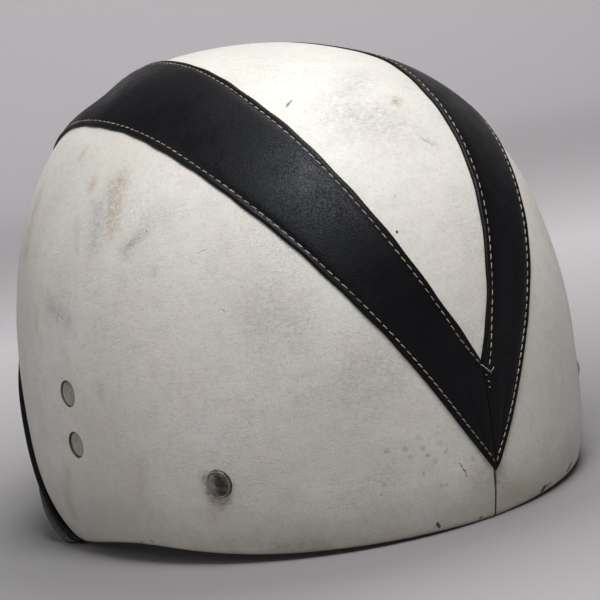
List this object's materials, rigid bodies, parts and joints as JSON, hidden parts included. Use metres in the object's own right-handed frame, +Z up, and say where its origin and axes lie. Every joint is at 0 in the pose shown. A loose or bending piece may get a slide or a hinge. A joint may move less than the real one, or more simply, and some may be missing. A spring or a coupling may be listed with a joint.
{
  "type": "open-face motorcycle helmet",
  "caption": "Ear-covering open-face motorcycle helmet: hard shell in white leather panels with black leather stripes meeting in a V at the nape, padded lining.",
  "frame": {"origin": "on the surface that the helmet stands on, under the middle of its outline", "axes": "+Z up, +Y towards the nape and -Y towards the face opening, +X the wearer's left"},
  "size_m": [0.2374, 0.2737, 0.2089],
  "materials": {
    "shell": "raw resin and glass cloth, matt",
    "lining": "dark grey padded vinyl, dull",
    "white_leather": "aged white leather, fine crackle, scuffed",
    "black_leather": "black grained leather, soft sheen",
    "nickel": "dull worn nickel"
  },
  "bodies": {
    "root": {"shell": "shell", "lining": "lining", "cover_left": "white_leather", "cover_right": "white_leather", "cover_crown": "white_leather", "stripe_left": "black_leather", "stripe_right": "black_leather", "edge_piping": "black_leather", "strap_rivet_left_upper": "nickel", "strap_rivet_left_lower": "nickel", "strap_rivet_right_upper": "nickel", "strap_rivet_right_lower": "nickel", "rear_stud_left": "nickel", "rear_stud_right": "nickel"}
  },
  "joints": []
}
